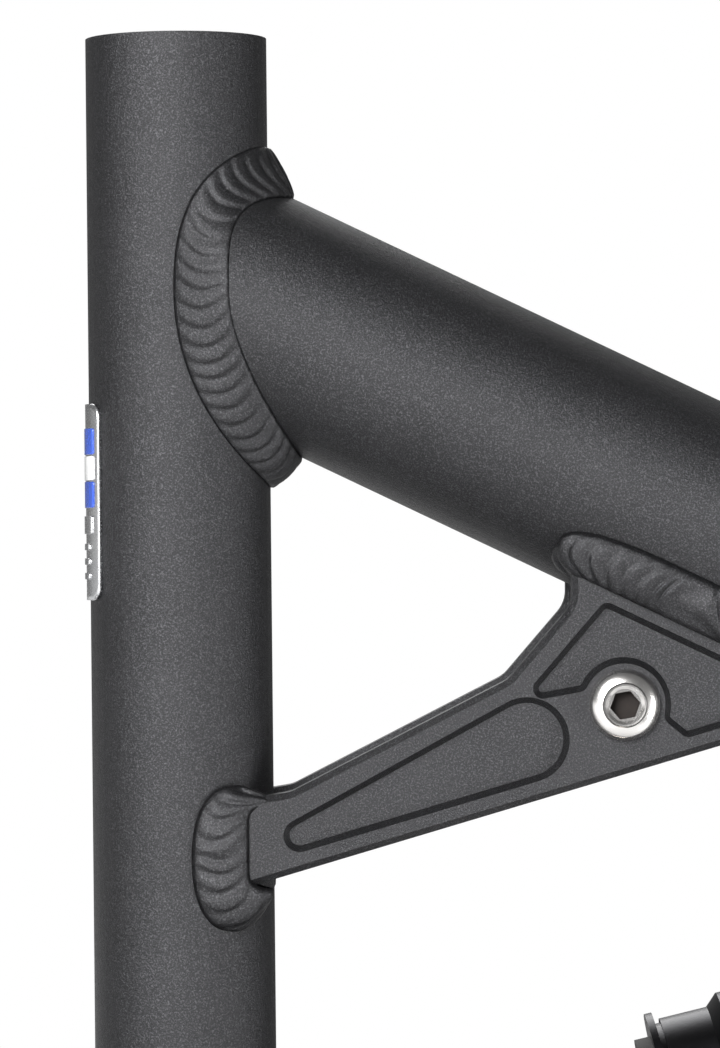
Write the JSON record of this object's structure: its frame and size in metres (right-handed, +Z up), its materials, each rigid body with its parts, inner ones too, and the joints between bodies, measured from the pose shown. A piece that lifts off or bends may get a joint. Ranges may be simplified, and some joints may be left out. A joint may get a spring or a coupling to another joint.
{
  "type": "full-suspension bicycle frame",
  "caption": "Black alloy full-suspension bicycle frame with a milled gusset under the seat tube joint, a one-pivot rear swingarm and an air shock.",
  "frame": {"origin": "centre of the bottom bracket shell", "axes": "+X forward, +Y to the non-drive side along the bottom bracket axis, +Z up"},
  "size_m": [0.9349, 0.165, 0.6433],
  "materials": {
    "black_alloy": "satin",
    "weld_bead": "satin",
    "stainless": "satin",
    "machined_alloy": "satin",
    "badge_metal": "gloss",
    "shock_black": "satin",
    "shaft_coat": "gloss",
    "seal_rubber": "matte",
    "bush_bronze": "satin",
    "knob_red": "satin"
  },
  "bodies": {
    "front_triangle": {"seat_tube": "black_alloy", "head_tube": "black_alloy", "top_tube": "black_alloy", "down_tube": "black_alloy", "bottom_bracket_shell": "black_alloy", "pivot_shell": "black_alloy", "gusset_plate_right": "black_alloy", "gusset_plate_left": "black_alloy", "shock_lugs": "black_alloy", "weld_top_tube_to_seat_tube": "weld_bead", "weld_gussets_to_seat_tube": "weld_bead", "weld_gussets_to_top_tube": "weld_bead", "weld_head_tube": "weld_bead", "weld_bottom_bracket": "weld_bead", "weld_pivot_shell": "weld_bead", "gusset_bolt": "stainless", "gusset_nut": "stainless", "front_shock_bolt": "stainless", "front_shock_nut": "stainless", "bottle_bosses": "stainless", "pivot_bearing_outer_races": "stainless", "gusset_spacer": "machined_alloy", "front_shock_spacer": "machined_alloy", "seat_tube_badge": "badge_metal"},
    "swingarm": {"side_arm_right": "black_alloy", "side_arm_left": "black_alloy", "chainstay_right": "black_alloy", "chainstay_left": "black_alloy", "seatstay_right": "black_alloy", "seatstay_left": "black_alloy", "dropout_right": "black_alloy", "dropout_left": "black_alloy", "chainstay_bridge": "black_alloy", "front_bridge": "black_alloy", "derailleur_hanger": "machined_alloy", "brake_tab": "black_alloy", "main_pivot_axle": "machined_alloy", "main_pivot_nut": "machined_alloy", "pivot_bearing_inner_races": "stainless", "pivot_spacers": "machined_alloy", "rear_shock_bolt": "stainless", "rear_shock_nut": "stainless", "rear_shock_spacers": "machined_alloy"},
    "shock_can": {"shock_air_can": "shock_black", "shock_head": "shock_black", "front_eye_bushing": "bush_bronze", "shock_wiper_seal": "seal_rubber", "air_valve_cap": "shock_black"},
    "shock_shaft": {"shock_rear_eye": "shock_black", "damper_tube": "shaft_coat", "air_piston": "bush_bronze", "travel_ring": "seal_rubber"},
    "rebound_knob": {"rebound_knob": "knob_red"}
  },
  "joints": [
    {"name": "main_pivot", "type": "hinge", "parent": "front_triangle", "child": "swingarm", "pos_m": [0.035, 0, 0.1], "axis": [0, 1, 0], "range_deg": [0, 17.5], "stiffness_Nm_per_rad": 400, "springref_deg": -4.58},
    {"name": "shock_swing", "type": "hinge", "parent": "front_triangle", "child": "shock_can", "pos_m": [0.1245, 0, 0.3275], "axis": [0, 1, 0], "range_deg": [-2.4, 0]},
    {"name": "shock_stroke", "type": "slide", "parent": "shock_can", "child": "shock_shaft", "axis": [0.8351, 0, 0.5501], "range_m": [0, 0.04262]},
    {"name": "rebound_turn", "type": "hinge", "parent": "shock_can", "child": "rebound_knob", "pos_m": [0.08945, 0, 0.30441], "axis": [0.5501, 0, -0.8351], "range_deg": [0, 300]}
  ],
  "couplings": [
    {"joint": "shock_swing", "follows": "main_pivot", "ratio": -0.13468},
    {"joint": "shock_stroke", "follows": "main_pivot", "m_per_rad": 0.13816}
  ]
}
